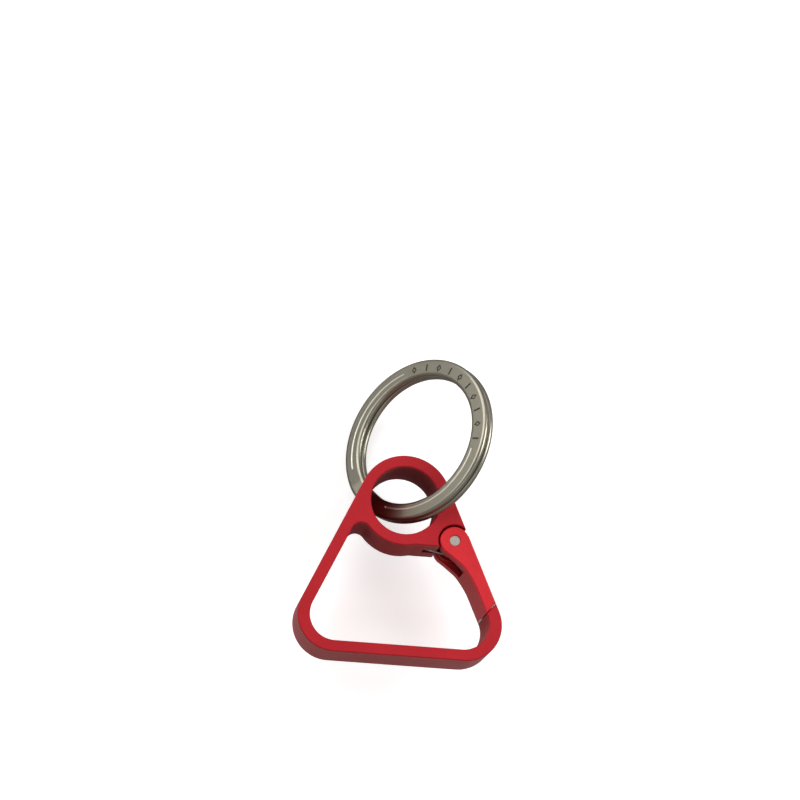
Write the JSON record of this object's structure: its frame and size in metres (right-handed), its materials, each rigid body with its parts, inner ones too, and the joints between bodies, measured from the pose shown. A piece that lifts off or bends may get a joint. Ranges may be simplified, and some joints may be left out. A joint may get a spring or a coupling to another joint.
{
  "type": "carabiner keyring",
  "caption": "Flat triangular snap carabiner with a sprung gate in one side and a flat split key ring linked through a round eye at the apex.",
  "frame": {"origin": "centre of the footprint of the whole assembly, at its lowest point, with the carabiner lying face up; the eye's axis is 0.1 mm from the origin in plan", "axes": "+Z out of the carabiner's front face, +Y from the base bar to the key eye, +X to the gate side"},
  "size_m": [0.0348, 0.0538, 0.0226],
  "materials": {
    "frame_red": "satin red anodised, fine blasted grain",
    "gate_red": "satin red anodised, slightly brighter than the frame",
    "pin_steel": "turned steel end face",
    "spring_steel": "drawn spring wire",
    "ring_nickel": "polished dark nickel plate on flat steel wire"
  },
  "bodies": {
    "frame": {"frame_body": "frame_red", "gate_spring": "spring_steel"},
    "gate": {"gate": "gate_red", "hinge_pin": "pin_steel"},
    "ring": {"key_ring": "ring_nickel"}
  },
  "joints": [
    {"name": "gate_hinge", "type": "hinge", "parent": "frame", "child": "gate", "pos_m": [0.00878, -0.00632, 0.0106], "axis": [0, 0, -1], "range_deg": [0, 50], "stiffness_Nm_per_rad": 0.015, "springref_deg": -34.38, "deforming": ["gate_spring"]},
    {"name": "ring_swing", "type": "hinge", "parent": "frame", "child": "ring", "pos_m": [-0.00007, 0.0001, 0.0106], "axis": [0, 0, 1], "range_deg": [-105, 125]}
  ]
}
